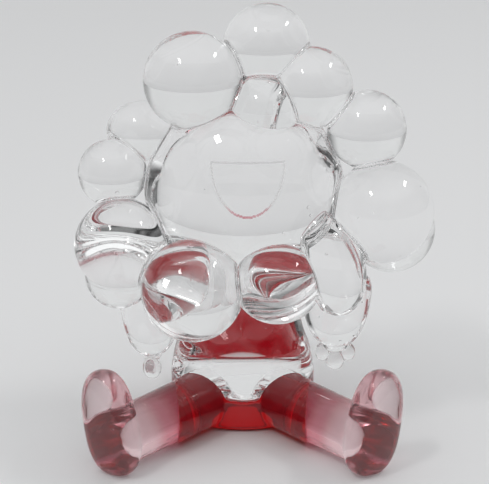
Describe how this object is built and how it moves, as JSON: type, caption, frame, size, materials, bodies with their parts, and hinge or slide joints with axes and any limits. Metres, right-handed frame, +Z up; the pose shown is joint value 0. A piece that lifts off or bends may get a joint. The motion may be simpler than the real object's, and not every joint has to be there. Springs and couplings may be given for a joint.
{
  "type": "art toy figurine",
  "caption": "Seated collectible figure in clear resin on a red-tinted seat, its round head ringed by ball-shaped curls, with turning head, swinging sleeves and swinging legs.",
  "frame": {"origin": "centre of the bounding box on the plane that the seat and feet stand on", "axes": "+Z up, the figure faces -Y, +X is to the right of a viewer who faces it"},
  "size_m": [0.1782, 0.1196, 0.2078],
  "materials": {
    "clear_resin": "clear polished cast resin",
    "red_resin": "clear polished cast resin, deep red tint",
    "rose_resin": "clear polished cast resin, rose tint",
    "pale_rose_resin": "clear polished cast resin, pale rose tint"
  },
  "bodies": {
    "torso": {"torso_bell": "clear_resin", "seat_block": "red_resin", "left_thigh": "red_resin", "right_thigh": "red_resin", "neck_peg": "clear_resin"},
    "head": {"head_core": "clear_resin", "curl_top": "clear_resin", "curl_upper_left": "clear_resin", "curl_left_rear": "clear_resin", "curl_left": "clear_resin", "curl_lower_left": "clear_resin", "curl_chin_left": "clear_resin", "curl_chin_right": "clear_resin", "curl_lower_right": "clear_resin", "curl_right": "clear_resin", "curl_upper_right": "clear_resin", "curl_brow": "clear_resin", "curl_hanging": "clear_resin", "curl_rear_left": "clear_resin", "curl_rear_right": "clear_resin"},
    "left_arm": {"left_sleeve": "clear_resin", "left_shoulder_peg": "clear_resin", "left_hand": "clear_resin"},
    "right_arm": {"right_sleeve": "clear_resin", "right_shoulder_peg": "clear_resin", "right_hand": "clear_resin"},
    "left_leg": {"left_leg": "rose_resin", "left_foot": "pale_rose_resin", "left_hip_peg": "red_resin"},
    "right_leg": {"right_leg": "rose_resin", "right_foot": "pale_rose_resin", "right_hip_peg": "red_resin"}
  },
  "joints": [
    {"name": "head_turn", "type": "hinge", "parent": "torso", "child": "head", "pos_m": [-0.00835, 0.02432, 0.072], "axis": [0, 0, 1], "range_deg": [-4, 4]},
    {"name": "left_arm_swing", "type": "hinge", "parent": "torso", "child": "left_arm", "pos_m": [-0.03835, 0.03283, 0.056], "axis": [-1, 0, 0], "range_deg": [-10, 25]},
    {"name": "right_arm_swing", "type": "hinge", "parent": "torso", "child": "right_arm", "pos_m": [0.02165, 0.03283, 0.061], "axis": [-1, 0, 0], "range_deg": [-10, 25]},
    {"name": "left_leg_swing", "type": "hinge", "parent": "torso", "child": "left_leg", "pos_m": [-0.04135, -0.00817, 0.0144], "axis": [-0.9923, -0.124, 0], "range_deg": [0, 25]},
    {"name": "right_leg_swing", "type": "hinge", "parent": "torso", "child": "right_leg", "pos_m": [0.02465, -0.00817, 0.0144], "axis": [-0.9923, 0.124, 0], "range_deg": [0, 25]}
  ]
}
